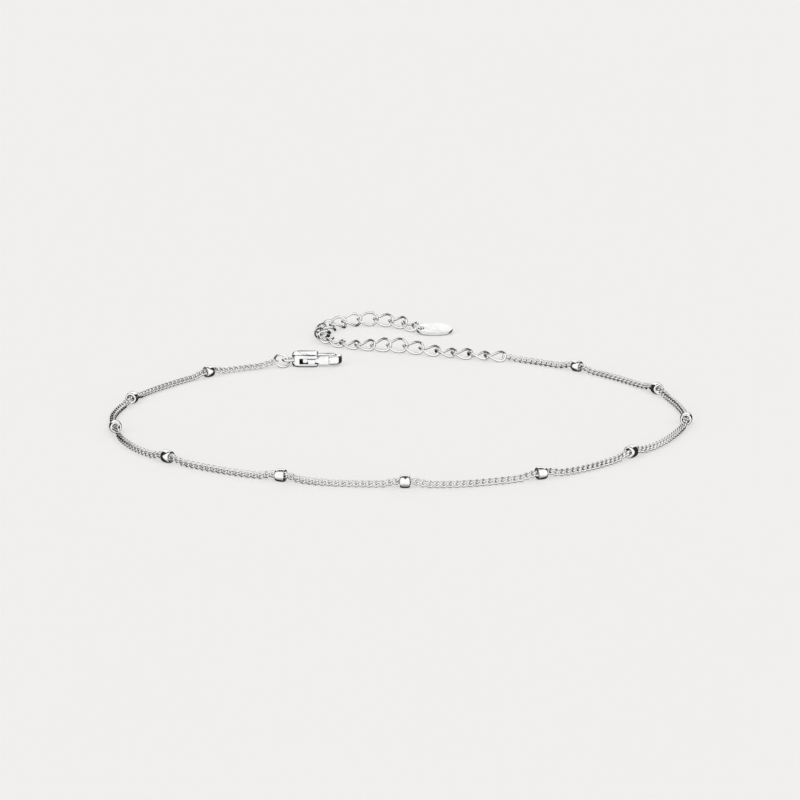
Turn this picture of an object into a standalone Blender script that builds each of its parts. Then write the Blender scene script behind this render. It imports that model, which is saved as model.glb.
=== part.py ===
"""Beaded anklet lying on a surface: a thin curb chain with drilled beads, a lobster clasp on a jump
ring, and an extender of open curb links that ends in a flat oval tag.

Metres, +Z up. The origin is under the middle of the part, on the surface it lies on.
"""

import math

import bmesh
import bpy
from mathutils import Matrix, Vector

# Chain and beads
CHAIN_DIAMETER = 0.00100
BEAD_DIAMETER = 0.00190
BEAD_LENGTH = 0.00142
BEAD_RIM_WIDTH = 0.00012
BORE_CLEARANCE = 0.00012
BEAD_SIDES = 16
BEAD_ARC_STEPS = 4
CHAIN_RISE_LENGTH = 0.00340
STATION_STEP = 0.0034
JOIN_GAP = 0.00030

# Jump ring at the clasp, and the small ring at the tag
JUMP_RING_DIAMETER = 0.00290
JUMP_RING_WIRE = 0.00040
JUMP_RING_LEAN = math.radians(44)
JUMP_RING_HEADING = math.radians(212)
TAG_RING_DIAMETER = 0.00230
TAG_RING_WIRE = 0.00036
TAG_RING_HEADING = math.radians(-50)
TAG_RING_LEAN = math.radians(130)
RING_SEGMENTS = 16

# Extender links
LINK_LENGTH = 0.00400
LINK_WIDTH = 0.00290
LINK_WIRE = 0.00045
LINK_GAP = 0.00015
LINK_TWIST = math.radians(45)
LINK_SEGMENTS = 14
WIRE_SIDES = 6
WIRE_CLEARANCE = 0.00014

# Tag
TAG_LENGTH = 0.00650
TAG_WIDTH = 0.00430
TAG_THICKNESS = 0.00045
TAG_EDGE_ROUND = 0.00008
TAG_LEAN = math.radians(15)
TAG_HOLE_DIAMETER = 0.00115
TAG_HOLE_MARGIN = 0.00028
TAG_SIDES = 36
TAG_HOLE_SIDES = 16

# Lobster clasp, in its own frame: X from the eye to the hook's bend, +Y away from the lever
CLASP_LENGTH = 0.01010
CLASP_WIDTH = 0.00380
CLASP_THICKNESS = 0.00220
CLASP_EDGE_ROUND = 0.00024
CHEEK_THICKNESS = 0.00062
HOUSING_START = 0.00170
HOUSING_END = 0.00615
HOUSING_EYE_CORNER = 0.00130
HOUSING_HOOK_CORNER = 0.00055
HOUSING_CORNER_STEPS = 5
EYE_WIRE = 0.00044
EYE_MEAN_RADIUS = 0.00085
EYE_OFFSET = -0.00050
EYE_SIDES = 8
HOOK_WIDTH = 0.00095
HOOK_THICKNESS = 0.00145
HOOK_EDGE_ROUND = 0.00022
HOOK_TUCK = 0.00008
HOOK_NEAR_SET_BACK = 0.00038
HOOK_NOSE_LENGTH = 0.00040
HOOK_BEND_STEPS = 8
SLOT_START = 0.00300
SLOT_BACK_WALL = 0.00140
PIVOT_X = 0.00395
RIVET_DIAMETER = 0.00050
RIVET_CLEARANCE = 0.00010
RIVET_SIDES = 12
LEVER_CLEARANCE = 0.00010
LEVER_TAIL = 0.00060
LEVER_TAIL_CORNER = 0.00028
LEVER_NOSE_START = 0.00630
LEVER_NOSE_SLANT = 0.00045
LEVER_EDGE_ROUND = 0.00012
NUB_START = 0.00450
NUB_END = 0.00560
NUB_REACH = 0.00042
NUB_SLOPE = 0.00021
CLASP_PLACE = Vector((-0.01990, 0.02270, 0.0))

SURFACE_GAP = 0.00001
CUTTER_OVERRUN = 0.00060
ROUTE_STEPS = 24
SHARP_EDGE = math.radians(40)
SETTLING_ROUNDS = 60
SETTLING_POINTS = 28

# The chain's route as it lies, from the jump ring round to the extender: x, y, and what sits there.
# The first and last points come from the jump ring and the extender.
CHAIN_ROUTE = (
    (-0.0253, 0.0190, "chain"),
    (-0.0286, 0.0172, "chain"),
    (-0.0317, 0.0148, "bead"),
    (-0.0353, 0.0108, "chain"),
    (-0.0385, 0.0064, "chain"),
    (-0.0410, 0.0022, "chain"),
    (-0.0426, -0.0021, "bead"),
    (-0.0440, -0.0073, "chain"),
    (-0.0445, -0.0130, "chain"),
    (-0.0434, -0.0191, "bead"),
    (-0.0416, -0.0253, "chain"),
    (-0.0384, -0.0310, "chain"),
    (-0.0340, -0.0354, "bead"),
    (-0.0288, -0.0393, "chain"),
    (-0.0232, -0.0425, "chain"),
    (-0.0170, -0.0449, "bead"),
    (-0.0113, -0.0470, "chain"),
    (-0.0053, -0.0478, "chain"),
    (0.0007, -0.0480, "bead"),
    (0.0075, -0.0481, "chain"),
    (0.0142, -0.0464, "chain"),
    (0.0202, -0.0438, "bead"),
    (0.0256, -0.0410, "chain"),
    (0.0302, -0.0371, "chain"),
    (0.0340, -0.0328, "bead"),
    (0.0383, -0.0280, "chain"),
    (0.0418, -0.0217, "chain"),
    (0.0442, -0.0146, "bead"),
    (0.0442, -0.0083, "chain"),
    (0.0432, -0.0022, "chain"),
    (0.0415, 0.0038, "bead"),
    (0.0382, 0.0086, "chain"),
    (0.0343, 0.0136, "chain"),
    (0.0296, 0.0185, "bead"),
    (0.0252, 0.0214, "chain"),
    (0.0214, 0.0238, "chain"),
)

# The extender's route, from the chain's end to the tag: x, y
EXTENDER_ROUTE = (
    (0.0176, 0.0254),
    (0.0120, 0.0270),
    (0.0064, 0.0291),
    (0.0010, 0.0313),
    (-0.0050, 0.0332),
    (-0.0106, 0.0358),
    (-0.0132, 0.0386),
    (-0.0138, 0.0424),
    (-0.0130, 0.0464),
    (-0.0110, 0.0498),
    (-0.0078, 0.0517),
    (-0.0040, 0.0517),
    (-0.0010, 0.0506),
    (0.0016, 0.0486),
    (0.0034, 0.0456),
)

# How far each extender link is rolled about its own length, in degrees, from the chain's end
LINK_ROLLS = (
    -12, 2, -14, -2, -16, -34, -52, -40, -20, -4, 4,
    12, 20, 26, 24, 28, 38, 50, 38, 32, 10)

SILVER = (0.93, 0.93, 0.92, 1.0)
SILVER_ROUGHNESS = 0.12
WORN_SILVER_ROUGHNESS = 0.20


def clear_scene():
    """Remove whatever the scene starts with."""
    for thing in list(bpy.data.objects):
        bpy.data.objects.remove(thing, do_unlink=True)


def make_silver(name, roughness=SILVER_ROUGHNESS):
    """One polished metal of its own for one piece."""
    material = bpy.data.materials.new(name)
    material.use_nodes = True
    shader = material.node_tree.nodes["Principled BSDF"]
    shader.inputs["Base Color"].default_value = SILVER
    shader.inputs["Metallic"].default_value = 1.0
    shader.inputs["Roughness"].default_value = roughness
    return material


def add_object(name, shape, roughness=SILVER_ROUGHNESS):
    """Put a finished bmesh in the scene under its node's name."""
    bmesh.ops.recalc_face_normals(shape, faces=shape.faces)
    mesh = bpy.data.meshes.new(name)
    shape.to_mesh(mesh)
    shape.free()
    mesh.shade_smooth()
    mesh.set_sharp_from_angle(angle=SHARP_EDGE)
    mesh.materials.append(make_silver(name, roughness))
    thing = bpy.data.objects.new(name, mesh)
    bpy.context.scene.collection.objects.link(thing)
    return thing


def loft(sections, closed=False):
    """Skin equal closed sections; cap both ends, or join the last to the first."""
    shape = bmesh.new()
    rings = [[shape.verts.new(point) for point in section] for section in sections]
    pairs = list(zip(rings, rings[1:]))
    if closed:
        pairs.append((rings[-1], rings[0]))
    for lower, upper in pairs:
        for index in range(len(lower)):
            after = (index + 1) % len(lower)
            shape.faces.new((lower[index], lower[after], upper[after], upper[index]))
    if not closed:
        shape.faces.new(list(reversed(rings[0])))
        shape.faces.new(rings[-1])
    return shape


def wire_loop(centres, wire, sides):
    """A closed round wire along a closed list of centre points."""
    count = len(centres)
    middle = sum(centres, Vector()) / count
    sections = []
    for index, centre in enumerate(centres):
        along = (centres[(index + 1) % count] - centres[index - 1]).normalized()
        outward = centre - middle
        outward = (outward - along * outward.dot(along)).normalized()
        aside = along.cross(outward)
        sections.append([
            centre + (outward * math.cos(turn) + aside * math.sin(turn)) * (wire / 2)
            for turn in (math.tau * side / sides for side in range(sides))
        ])
    return loft(sections, closed=True)


def smooth_route(points):
    """A dense smooth line through the chosen points, and each point's index on it."""
    ends = [points[0] * 2 - points[1]] + list(points) + [points[-1] * 2 - points[-2]]
    line = []
    indices = []
    for before, start, stop, after in zip(ends, ends[1:], ends[2:], ends[3:]):
        indices.append(len(line))
        for step in range(ROUTE_STEPS):
            t = step / ROUTE_STEPS
            line.append(0.5 * (
                start * 2 + (stop - before) * t
                + (before * 2 - start * 5 + stop * 4 - after) * t ** 2
                + (start * 3 - before - stop * 3 + after) * t ** 3
            ))
    indices.append(len(line))
    line.append(points[-1].copy())
    return line, indices


def arc_lengths(line):
    """The distance along the line at each of its points."""
    lengths = [0.0]
    for start, stop in zip(line, line[1:]):
        lengths.append(lengths[-1] + (stop - start).length)
    return lengths


def point_along(line, lengths, distance):
    """The point at a distance along the line."""
    for index in range(1, len(lengths)):
        if lengths[index] >= distance or index == len(lengths) - 1:
            share = (distance - lengths[index - 1]) / (lengths[index] - lengths[index - 1])
            return line[index - 1].lerp(line[index], share)


def ease(share):
    """A smooth step from 0 to 1."""
    share = min(max(share, 0.0), 1.0)
    return share * share * (3 - 2 * share)


# Extender layout

def link_centres(frame, count):
    """Centre points of a twisted oval link in its frame (centre, along, across, up)."""
    centre, along, across, up, roll = frame
    half_length = (LINK_LENGTH - LINK_WIRE) / 2
    half_width = (LINK_WIDTH - LINK_WIRE) / 2
    points = []
    for step in range(count):
        turn = math.tau * step / count
        tilt = roll + LINK_TWIST * math.cos(turn)
        reach = half_width * math.sin(turn)
        points.append(
            centre + along * (half_length * math.cos(turn))
            + across * (reach * math.cos(tilt)) + up * (reach * math.sin(tilt)))
    return points


def link_pitch():
    """The step from one link to the next when the links are drawn out with their gap."""
    return LINK_LENGTH - 2 * LINK_WIRE - LINK_GAP


def joints_on_route(heights):
    """The points where the links meet, at equal steps along the extender's route.

    Past its last point the route runs straight on, for longer links.
    """
    line, _ = smooth_route([Vector((x, y, 0)) for x, y in EXTENDER_ROUTE])
    line.append(line[-1] + (line[-1] - line[-2]).normalized() * (LINK_LENGTH * len(heights)))
    joints = [line[0] + Vector((0, 0, heights[0]))]
    index = 1
    for height in heights[1:]:
        last = joints[-1]
        flat_step = math.sqrt(link_pitch() ** 2 - (height - last.z) ** 2)
        while index < len(line) - 1 and (line[index].xy - last.xy).length < flat_step:
            index += 1
        outer = (line[index].xy - last.xy).length
        inner = (line[index - 1].xy - last.xy).length
        share = (flat_step - inner) / (outer - inner)
        place = line[index - 1].lerp(line[index], share)
        joints.append(Vector((place.x, place.y, height)))
    return joints


def link_frame(start, stop, roll):
    """A link's centre and axes between its two joints."""
    along = (stop - start).normalized()
    across = Vector((0, 0, 1)).cross(along).normalized()
    return ((start + stop) / 2, along, across, along.cross(across), roll)


def lay_links():
    """Frames of all the links, settled at their joints until each one just clears the surface."""
    rolls = [math.radians(roll) for roll in LINK_ROLLS]
    heights = [LINK_WIDTH / 2] * (len(rolls) + 1)
    for _ in range(SETTLING_ROUNDS):
        joints = joints_on_route(heights)
        spare = []
        for start, stop, roll in zip(joints, joints[1:], rolls):
            centres = link_centres(link_frame(start, stop, roll), SETTLING_POINTS)
            spare.append(min(point.z for point in centres) - LINK_WIRE / 2 - SURFACE_GAP)
        around = [spare[0]] + spare + [spare[-1]]
        heights = [
            height - min(before, after) / 2
            for height, before, after in zip(heights, around, around[1:])
        ]
    joints = joints_on_route(heights)
    frames = [link_frame(start, stop, roll) for start, stop, roll in zip(joints, joints[1:], rolls)]
    return joints, frames


def make_extender(frames):
    """The interlocking open links."""
    for number, frame in enumerate(frames, start=1):
        centres = link_centres(frame, LINK_SEGMENTS)
        add_object(f"extender_link_{number:02d}", wire_loop(centres, LINK_WIRE, WIRE_SIDES))


# Rings

def ring_centres(middle, first, second, radius):
    """Centre points of a round ring in the plane of two directions."""
    return [
        middle + (first * math.cos(turn) + second * math.sin(turn)) * radius
        for turn in (math.tau * step / RING_SEGMENTS for step in range(RING_SEGMENTS))
    ]


def eye_centre():
    """Middle of the clasp's eye."""
    return CLASP_PLACE + Vector((EYE_MEAN_RADIUS + EYE_WIRE / 2, EYE_OFFSET, CLASP_THICKNESS / 2))


def jump_ring_plane():
    """The jump ring's middle, its direction from the eye to the chain, and its leaning direction."""
    radius = (JUMP_RING_DIAMETER - JUMP_RING_WIRE) / 2
    toward_chain = Vector((math.cos(JUMP_RING_HEADING), math.sin(JUMP_RING_HEADING), 0))
    away = Vector((toward_chain.y, -toward_chain.x, 0))
    leaning = away * math.cos(JUMP_RING_LEAN) + Vector((0, 0, 1)) * math.sin(JUMP_RING_LEAN)
    middle = eye_centre() + toward_chain * radius
    middle.z = radius * math.sin(JUMP_RING_LEAN) + JUMP_RING_WIRE / 2 + SURFACE_GAP
    return middle, toward_chain, leaning, radius


def make_jump_ring():
    """The ring between the clasp's eye and the chain."""
    middle, toward_chain, leaning, radius = jump_ring_plane()
    centres = ring_centres(middle, toward_chain, leaning, radius)
    add_object("jump_ring", wire_loop(centres, JUMP_RING_WIRE, WIRE_SIDES))


def chain_start():
    """Where the thin chain begins, just outside the jump ring."""
    middle, toward_chain, _, radius = jump_ring_plane()
    return middle + toward_chain * (radius + JUMP_RING_WIRE / 2 + JOIN_GAP)


def chain_end(joints):
    """Where the thin chain ends, just outside the first extender link."""
    outward = (joints[0] - joints[1]).normalized()
    reach = (LINK_LENGTH - link_pitch()) / 2
    return joints[0] + outward * (reach + JOIN_GAP)


# Chain and beads

def chain_stations(joints):
    """The chain's centre points with their heights, and each bead's place and direction."""
    start = chain_start()
    stop = chain_end(joints)
    rows = [(start.x, start.y, "end")] + list(CHAIN_ROUTE) + [(stop.x, stop.y, "end")]
    line, indices = smooth_route([Vector((x, y, 0)) for x, y, _ in rows])
    lengths = arc_lengths(line)
    bead_spots = [lengths[index] for index, row in zip(indices, rows) if row[2] == "bead"]
    total = lengths[-1]
    straight = BEAD_LENGTH / 2 + CHAIN_DIAMETER / 2
    lifts = [(spot, BEAD_DIAMETER / 2) for spot in bead_spots] + [(0.0, start.z), (total, stop.z)]

    def height(distance):
        low = CHAIN_DIAMETER / 2
        for spot, top in lifts:
            away = abs(distance - spot) - straight
            low = max(low, top + (CHAIN_DIAMETER / 2 - top) * ease(away / (CHAIN_RISE_LENGTH - straight)))
        return low + SURFACE_GAP

    distances = [0.0]
    edges = [0.0] + bead_spots + [total]
    rise = CHAIN_RISE_LENGTH - straight
    for left, right in zip(edges, edges[1:]):
        inner_left = left if left == 0.0 else left + straight
        inner_right = right if right == total else right - straight
        span = inner_right - inner_left - 2 * rise
        gaps = max(1, round(span / STATION_STEP))
        if left > 0.0:
            distances.append(inner_left)
        distances.extend(inner_left + rise + span * step / gaps for step in range(gaps + 1))
        if right < total:
            distances.append(inner_right)
    distances.append(total)
    points = []
    for distance in distances:
        point = point_along(line, lengths, distance)
        point.z = height(distance)
        points.append(point)
    beads = []
    for spot in bead_spots:
        before = point_along(line, lengths, spot - straight)
        after = point_along(line, lengths, spot + straight)
        middle = (before + after) / 2
        middle.z = height(spot)
        beads.append((middle, (after - before).normalized()))
    return points, beads


def make_chain(points):
    """The thin chain as a tube along its centre points."""
    curve = bpy.data.curves.new("curb_chain", "CURVE")
    curve.dimensions = "3D"
    curve.bevel_depth = CHAIN_DIAMETER / 2
    curve.bevel_resolution = 2
    curve.use_fill_caps = True
    spline = curve.splines.new("POLY")
    spline.points.add(len(points) - 1)
    for slot, point in zip(spline.points, points):
        slot.co = (point.x, point.y, point.z, 1.0)
    curve.materials.append(make_silver("curb_chain", WORN_SILVER_ROUGHNESS))
    thing = bpy.data.objects.new("curb_chain", curve)
    bpy.context.scene.collection.objects.link(thing)


def bead_profile():
    """Half section of a roundel: distance along the bore, distance from it."""
    bore = CHAIN_DIAMETER / 2 + BORE_CLEARANCE
    rim = bore + BEAD_RIM_WIDTH
    rise = BEAD_DIAMETER / 2 - rim
    half = BEAD_LENGTH / 2
    radius = (half ** 2 + rise ** 2) / (2 * rise)
    widest = math.asin(half / radius)
    profile = [(half, bore)]
    for step in range(BEAD_ARC_STEPS + 1):
        turn = widest * (1 - 2 * step / BEAD_ARC_STEPS)
        profile.append((radius * math.sin(turn), BEAD_DIAMETER / 2 - radius * (1 - math.cos(turn))))
    profile.append((-half, bore))
    return profile


def make_beads(beads):
    """The drilled beads, each turned to the chain that runs through it."""
    profile = bead_profile()
    for number, (middle, along) in enumerate(beads, start=1):
        aside = along.cross(Vector((0, 0, 1))).normalized()
        up = aside.cross(along)
        sections = []
        for side in range(BEAD_SIDES):
            turn = math.tau * (side + 0.5) / BEAD_SIDES
            outward = aside * math.cos(turn) + up * math.sin(turn)
            sections.append([middle + along * reach + outward * out for reach, out in profile])
        add_object(f"bead_{number:02d}", loft(sections, closed=True))


# Tag

def tag_height():
    """Height of the leaning tag's middle when its near edge is on the surface."""
    edge = (TAG_WIDTH / 2) * math.sin(TAG_LEAN) + (TAG_THICKNESS / 2) * math.cos(TAG_LEAN)
    return edge + SURFACE_GAP


def tag_ring_plane(joints):
    """The small ring's middle, its direction from the link to the tag, its lean and its radius."""
    toward_tag = Vector((math.cos(TAG_RING_HEADING), math.sin(TAG_RING_HEADING), 0))
    away = Vector((-toward_tag.y, toward_tag.x, 0))
    leaning = away * math.cos(TAG_RING_LEAN) + Vector((0, 0, 1)) * math.sin(TAG_RING_LEAN)
    radius = (TAG_RING_DIAMETER - TAG_RING_WIRE) / 2
    outward = (joints[-1] - joints[-2]).normalized()
    link_end = joints[-1] + outward * ((LINK_LENGTH - link_pitch()) / 2 - LINK_WIRE / 2)
    hold = (LINK_WIRE + TAG_RING_WIRE) / 2 + WIRE_CLEARANCE
    height = radius * leaning.z + TAG_RING_WIRE / 2 + SURFACE_GAP
    turn = math.asin((link_end.z - height) / (radius * leaning.z))
    middle = link_end + toward_tag * (radius * math.cos(turn) - hold) - leaning * (radius * math.sin(turn))
    middle.z = height
    return middle, toward_tag, leaning, radius


def tag_hole_spot(joints):
    """Where the small ring passes through the tag's middle height."""
    middle, toward_tag, leaning, radius = tag_ring_plane(joints)
    turn = math.asin((tag_height() - middle.z) / (radius * leaning.z))
    return middle + (toward_tag * math.cos(turn) + leaning * math.sin(turn)) * radius


def make_tag(joints):
    """The oval tag with its hole, leaning on its near edge, and the ring that holds it."""
    middle, toward_tag, leaning, radius = tag_ring_plane(joints)
    centres = ring_centres(middle, toward_tag, leaning, radius)
    add_object("tag_ring", wire_loop(centres, TAG_RING_WIRE, WIRE_SIDES))

    hole_inset = TAG_HOLE_MARGIN + TAG_HOLE_DIAMETER / 2
    hole_x = hole_inset - TAG_LENGTH / 2
    levels = (
        (-TAG_THICKNESS / 2, TAG_EDGE_ROUND),
        (-TAG_THICKNESS / 2 + TAG_EDGE_ROUND, 0.0),
        (TAG_THICKNESS / 2 - TAG_EDGE_ROUND, 0.0),
        (TAG_THICKNESS / 2, TAG_EDGE_ROUND),
    )
    sections = []
    for height, inset in levels:
        long_half = TAG_LENGTH / 2 - inset
        short_half = TAG_WIDTH / 2 - inset
        sections.append([
            Vector((long_half * math.cos(turn), short_half * math.sin(turn), height))
            for turn in (math.tau * side / TAG_SIDES for side in range(TAG_SIDES))
        ])
    plate = add_object("tag", loft(sections), WORN_SILVER_ROUGHNESS)
    drill = add_cutter("tag_drill", cylinder(
        TAG_HOLE_DIAMETER / 2, TAG_THICKNESS + 2 * CUTTER_OVERRUN, TAG_HOLE_SIDES))
    cut(plate, drill)

    lean = Matrix.Rotation(TAG_LEAN, 4, "X")
    place = tag_hole_spot(joints) - (lean @ Vector((hole_x, 0, 0)))
    place.z = tag_height()
    plate.matrix_world = Matrix.Translation(place) @ lean
    drill.matrix_world = plate.matrix_world @ Matrix.Translation((hole_x, 0, 0))


# Cutters and joined shapes

def cylinder(radius, height, sides):
    """An upright round bar about the origin."""
    shape = bmesh.new()
    bmesh.ops.create_cone(
        shape, cap_ends=True, segments=sides, radius1=radius, radius2=radius, depth=height)
    return shape


def box(low, high):
    """A box between two corners."""
    shape = bmesh.new()
    bmesh.ops.create_cube(shape, size=1.0)
    low = Vector(low)
    high = Vector(high)
    for vert in shape.verts:
        vert.co = Vector(
            low[axis] if vert.co[axis] < 0 else high[axis] for axis in range(3))
    return shape


def add_cutter(name, shape):
    """A guide shape that only cuts or joins others."""
    thing = add_object(name, shape)
    thing.hide_render = True
    thing.display_type = "WIRE"
    return thing


def combine(thing, other, operation):
    """A boolean with another object, kept as a modifier."""
    modifier = thing.modifiers.new(f"{operation}_{other.name}", "BOOLEAN")
    modifier.operation = operation
    modifier.object = other


def cut(thing, cutter):
    """Cut one object with another."""
    combine(thing, cutter, "DIFFERENCE")


def join(thing, other):
    """Fuse another object into one."""
    combine(thing, other, "UNION")


# Clasp

def rounded_plan(x0, x1, y0, y1, left_radius, right_radius, inset):
    """A rounded rectangle in plan, drawn in by an inset."""
    corners = (
        (x1, y1, right_radius, 0), (x0, y1, left_radius, 90),
        (x0, y0, left_radius, 180), (x1, y0, right_radius, 270))
    points = []
    for x, y, radius, first in corners:
        centre_x = x - radius if x == x1 else x + radius
        centre_y = y - radius if y == y1 else y + radius
        for step in range(HOUSING_CORNER_STEPS + 1):
            turn = math.radians(first + 90 * step / HOUSING_CORNER_STEPS)
            points.append((
                centre_x + (radius - inset) * math.cos(turn),
                centre_y + (radius - inset) * math.sin(turn)))
    return points


def housing_shape():
    """The clasp's two cheeks as one block with eased edges, before its slot is cut."""
    half = CLASP_WIDTH / 2
    levels = (
        (SURFACE_GAP, CLASP_EDGE_ROUND),
        (CLASP_EDGE_ROUND, 0.0),
        (CLASP_THICKNESS - CLASP_EDGE_ROUND, 0.0),
        (CLASP_THICKNESS, CLASP_EDGE_ROUND),
    )
    sections = []
    for height, inset in levels:
        plan = rounded_plan(
            HOUSING_START, HOUSING_END, -half, half, HOUSING_EYE_CORNER, HOUSING_HOOK_CORNER, inset)
        sections.append([Vector((x, y, height)) for x, y in plan])
    return loft(sections)


def bar_section(width, thickness, ease_edge):
    """An eight-sided section of a flat bar: out, up."""
    out = width / 2
    up = thickness / 2
    return (
        (out, -up + ease_edge), (out, up - ease_edge), (out - ease_edge, up), (-out + ease_edge, up),
        (-out, up - ease_edge), (-out, -up + ease_edge), (-out + ease_edge, -up), (out - ease_edge, -up))


def near_line():
    """Distance of the hook's near arm and of the lever from the clasp's middle line."""
    return -(CLASP_WIDTH / 2 - HOOK_NEAR_SET_BACK - HOOK_WIDTH / 2)


def far_line():
    """Distance of the hook's far arm from the clasp's middle line."""
    return CLASP_WIDTH / 2 - HOOK_TUCK - HOOK_WIDTH / 2


def bend_middle():
    """Middle of the hook's round bend, in plan."""
    radius = (far_line() - near_line()) / 2
    return CLASP_LENGTH - HOOK_WIDTH / 2 - radius, (far_line() + near_line()) / 2, radius


def hook_shape():
    """The hook: out of the housing on the far side, round the bend, and back to its nose."""
    bend_x, bend_y, radius = bend_middle()
    stations = [(HOUSING_END - HOOK_WIDTH, far_line(), 0.0, 1.0)]
    for step in range(HOOK_BEND_STEPS + 1):
        turn = math.pi / 2 - math.pi * step / HOOK_BEND_STEPS
        out = (math.cos(turn), math.sin(turn))
        stations.append((bend_x + radius * out[0], bend_y + radius * out[1], out[0], out[1]))
    stations.append((bend_x - HOOK_NOSE_LENGTH, near_line(), 0.0, -1.0))
    sections = []
    for x, y, out_x, out_y in stations:
        sections.append([
            Vector((x + out_x * out, y + out_y * out, CLASP_THICKNESS / 2 + up))
            for out, up in bar_section(HOOK_WIDTH, HOOK_THICKNESS, HOOK_EDGE_ROUND)
        ])
    return loft(sections)


def eye_shape():
    """The clasp's round eye, flat in the clasp's plane."""
    middle = eye_centre() - CLASP_PLACE
    centres = ring_centres(middle, Vector((1, 0, 0)), Vector((0, 1, 0)), EYE_MEAN_RADIUS)
    return wire_loop(centres, EYE_WIRE, EYE_SIDES)


def make_clasp_body():
    """Cheeks, hook and eye in one, with the lever's slot and the rivet's hole cut through."""
    body = add_object("clasp_body", housing_shape())
    hook = add_cutter("clasp_hook_form", hook_shape())
    eye = add_cutter("clasp_eye_form", eye_shape())
    slot = add_cutter("clasp_slot_form", box(
        (SLOT_START, -CLASP_WIDTH, CHEEK_THICKNESS),
        (HOUSING_END + CUTTER_OVERRUN, CLASP_WIDTH / 2 - SLOT_BACK_WALL, CLASP_THICKNESS - CHEEK_THICKNESS)))
    bore = add_cutter("clasp_bore_form", cylinder(
        RIVET_DIAMETER / 2 + RIVET_CLEARANCE, CLASP_THICKNESS + 2 * CUTTER_OVERRUN, RIVET_SIDES))
    bore.location = (PIVOT_X, near_line(), CLASP_THICKNESS / 2)
    cut(body, slot)
    cut(body, bore)
    join(body, hook)
    join(body, eye)
    return [body, hook, eye, slot, bore]


def prism(outline, low, high):
    """A plan outline carried up from one height to another."""
    return loft([[Vector((x, y, height)) for x, y in outline] for height in (low, high)])


def lever_shapes():
    """The lever's thin bar with its nub, and its thick nose, about the rivet."""
    half = HOOK_WIDTH / 2
    bar_half = (CLASP_THICKNESS - 2 * CHEEK_THICKNESS) / 2 - LEVER_CLEARANCE
    nose_end = bend_middle()[0] - HOOK_NOSE_LENGTH - LEVER_CLEARANCE - PIVOT_X
    nose_start = LEVER_NOSE_START - PIVOT_X
    bar_end = (nose_start + LEVER_NOSE_SLANT + nose_end) / 2
    nub_top = -(half + HOOK_NEAR_SET_BACK + NUB_REACH)
    bar = (
        (bar_end, half),
        (LEVER_TAIL_CORNER - LEVER_TAIL, half), (-LEVER_TAIL, half - LEVER_TAIL_CORNER),
        (-LEVER_TAIL, LEVER_TAIL_CORNER - half), (LEVER_TAIL_CORNER - LEVER_TAIL, -half),
        (NUB_START - PIVOT_X - NUB_SLOPE, -half), (NUB_START - PIVOT_X, nub_top),
        (NUB_END - PIVOT_X, nub_top), (NUB_END - PIVOT_X + NUB_SLOPE, -half),
        (bar_end, -half))
    nose = (
        (nose_end, -half), (nose_end, half), (nose_start + LEVER_NOSE_SLANT, half), (nose_start, -half))
    return prism(bar, -bar_half, bar_half), prism(nose, -HOOK_THICKNESS / 2, HOOK_THICKNESS / 2)


def make_lever():
    """The lever, its origin on the rivet's axis."""
    bar, nose = lever_shapes()
    lever = add_object("clasp_lever", bar)
    nose_form = add_cutter("clasp_nose_form", nose)
    ease_edges = nose_form.modifiers.new("eased_edges", "BEVEL")
    ease_edges.width = LEVER_EDGE_ROUND
    ease_edges.segments = 1
    ease_edges.limit_method = "ANGLE"
    bore = add_cutter("clasp_lever_bore_form", cylinder(
        RIVET_DIAMETER / 2 + RIVET_CLEARANCE, CLASP_THICKNESS + 2 * CUTTER_OVERRUN, RIVET_SIDES))
    join(lever, nose_form)
    cut(lever, bore)
    for thing in (lever, nose_form, bore):
        thing.location = (PIVOT_X, near_line(), CLASP_THICKNESS / 2)
    return [lever, nose_form, bore]


def make_rivet():
    """The rivet through both cheeks and the lever."""
    rivet = add_object("clasp_rivet", cylinder(RIVET_DIAMETER / 2, CLASP_THICKNESS, RIVET_SIDES))
    rivet.location = (PIVOT_X, near_line(), CLASP_THICKNESS / 2 + SURFACE_GAP)
    return [rivet]


def make_clasp():
    """All of the clasp, carried to its place by an empty."""
    carrier = bpy.data.objects.new("clasp_place", None)
    bpy.context.scene.collection.objects.link(carrier)
    for thing in make_clasp_body() + make_lever() + make_rivet():
        thing.parent = carrier
    carrier.location = CLASP_PLACE


# Origin

def centre_on_origin():
    """Slide everything so that the origin lies under the middle of the part's box."""
    bpy.context.view_layer.update()
    depsgraph = bpy.context.evaluated_depsgraph_get()
    corners = []
    for thing in bpy.context.scene.objects:
        if thing.type == "EMPTY" or thing.hide_render:
            continue
        shown = thing.evaluated_get(depsgraph)
        mesh = shown.to_mesh()
        corners.extend(shown.matrix_world @ vert.co for vert in mesh.vertices)
        shown.to_mesh_clear()
    low = Vector(min(corner[axis] for corner in corners) for axis in range(3))
    high = Vector(max(corner[axis] for corner in corners) for axis in range(3))
    slide = Vector((-(low.x + high.x) / 2, -(low.y + high.y) / 2, -low.z))
    for thing in bpy.context.scene.objects:
        if thing.parent is None:
            thing.location += slide


def main():
    """Build the whole anklet."""
    clear_scene()
    joints, frames = lay_links()
    points, beads = chain_stations(joints)
    make_chain(points)
    make_beads(beads)
    make_jump_ring()
    make_extender(frames)
    make_tag(joints)
    make_clasp()
    centre_on_origin()


main()
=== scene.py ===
"""Looks of the beaded anklet: interlocking curb links, turned beads, clasp, extender and tag, in silver.

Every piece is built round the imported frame, in metres, with +Z up.
"""

from __future__ import annotations

import logging
import math
import random
from dataclasses import dataclass
from enum import Enum
from typing import Iterable

import bmesh
import bpy
import numpy as np
from mathutils import Matrix, Vector

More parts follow.
